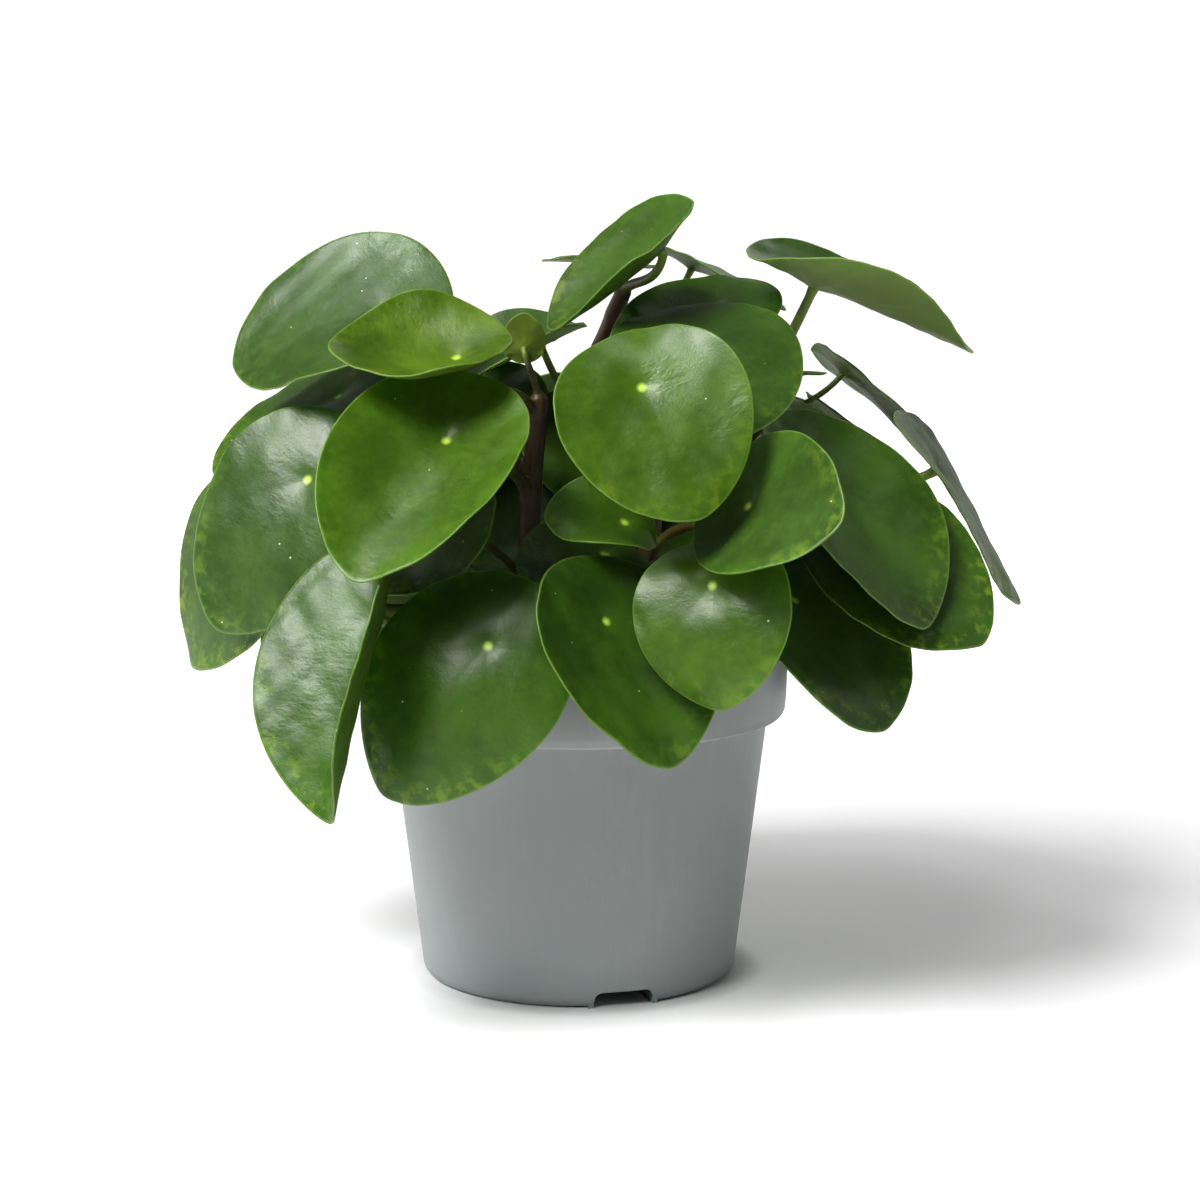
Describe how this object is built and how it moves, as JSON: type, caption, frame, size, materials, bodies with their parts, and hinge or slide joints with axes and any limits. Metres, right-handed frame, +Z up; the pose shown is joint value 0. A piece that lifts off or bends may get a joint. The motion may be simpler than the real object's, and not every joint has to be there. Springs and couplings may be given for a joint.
{
  "type": "potted pilea plant",
  "caption": "Leafy house plant with glossy round peltate leaves on upright stems, growing in soil in a plain tapered nursery pot.",
  "frame": {"origin": "on the pot's axis, at the plane the pot stands on", "axes": "+Z up along the pot's axis, -Y towards the picture's viewer, +X to that viewer's right"},
  "size_m": [0.2467, 0.2218, 0.2233],
  "materials": {
    "pot": "satin",
    "soil": "matte",
    "stem": "satin",
    "leaf_mature": "gloss",
    "leaf_grey": "gloss",
    "leaf_bright": "gloss",
    "leaf_young": "gloss"
  },
  "bodies": {
    "root": {"pot": "pot", "soil": "soil", "stem_front": "stem", "stem_left": "stem", "stem_far_left": "stem", "stem_right": "stem", "stem_back": "stem", "leaf_left_top": "leaf_grey", "leaf_left_young": "leaf_young", "leaf_left_broad": "leaf_bright", "leaf_left_glossy": "leaf_grey", "leaf_left_outer": "leaf_mature", "leaf_left_under_top": "leaf_mature", "leaf_left_inner": "leaf_mature", "leaf_left_hanging": "leaf_mature", "leaf_left_up": "leaf_young", "leaf_left_side": "leaf_mature", "leaf_inner": "leaf_mature", "leaf_front_bright": "leaf_bright", "leaf_front_low_left": "leaf_mature", "leaf_front_low": "leaf_mature", "leaf_front_round": "leaf_bright", "leaf_front_kidney": "leaf_mature", "leaf_front_small": "leaf_bright", "leaf_front_shaded": "leaf_mature", "leaf_top": "leaf_mature", "leaf_top_shaded": "leaf_grey", "leaf_top_dark": "leaf_mature", "leaf_top_far": "leaf_mature", "leaf_top_grey": "leaf_grey", "leaf_top_behind": "leaf_grey", "leaf_top_corner": "leaf_mature", "leaf_right_top": "leaf_grey", "leaf_right_edge": "leaf_grey", "leaf_right_outer": "leaf_mature", "leaf_right_behind": "leaf_mature", "leaf_right_inner": "leaf_young", "leaf_right_side": "leaf_mature", "leaf_right_broad": "leaf_mature", "leaf_right_low": "leaf_mature", "leaf_right_lowest": "leaf_mature", "leaf_back_top_left": "leaf_mature", "leaf_back_top_right": "leaf_grey", "leaf_back_left": "leaf_mature", "leaf_back_mid_left": "leaf_bright", "leaf_back_mid": "leaf_mature", "leaf_back_mid_right": "leaf_grey", "leaf_back_right": "leaf_mature", "leaf_back_low_left": "leaf_mature", "leaf_back_low_mid_left": "leaf_mature", "leaf_back_low": "leaf_bright", "leaf_back_low_right": "leaf_mature", "leaf_back_low_far_right": "leaf_mature", "leaf_inner_top": "leaf_mature", "leaf_inner_left": "leaf_mature", "leaf_inner_right": "leaf_mature"}
  },
  "joints": []
}
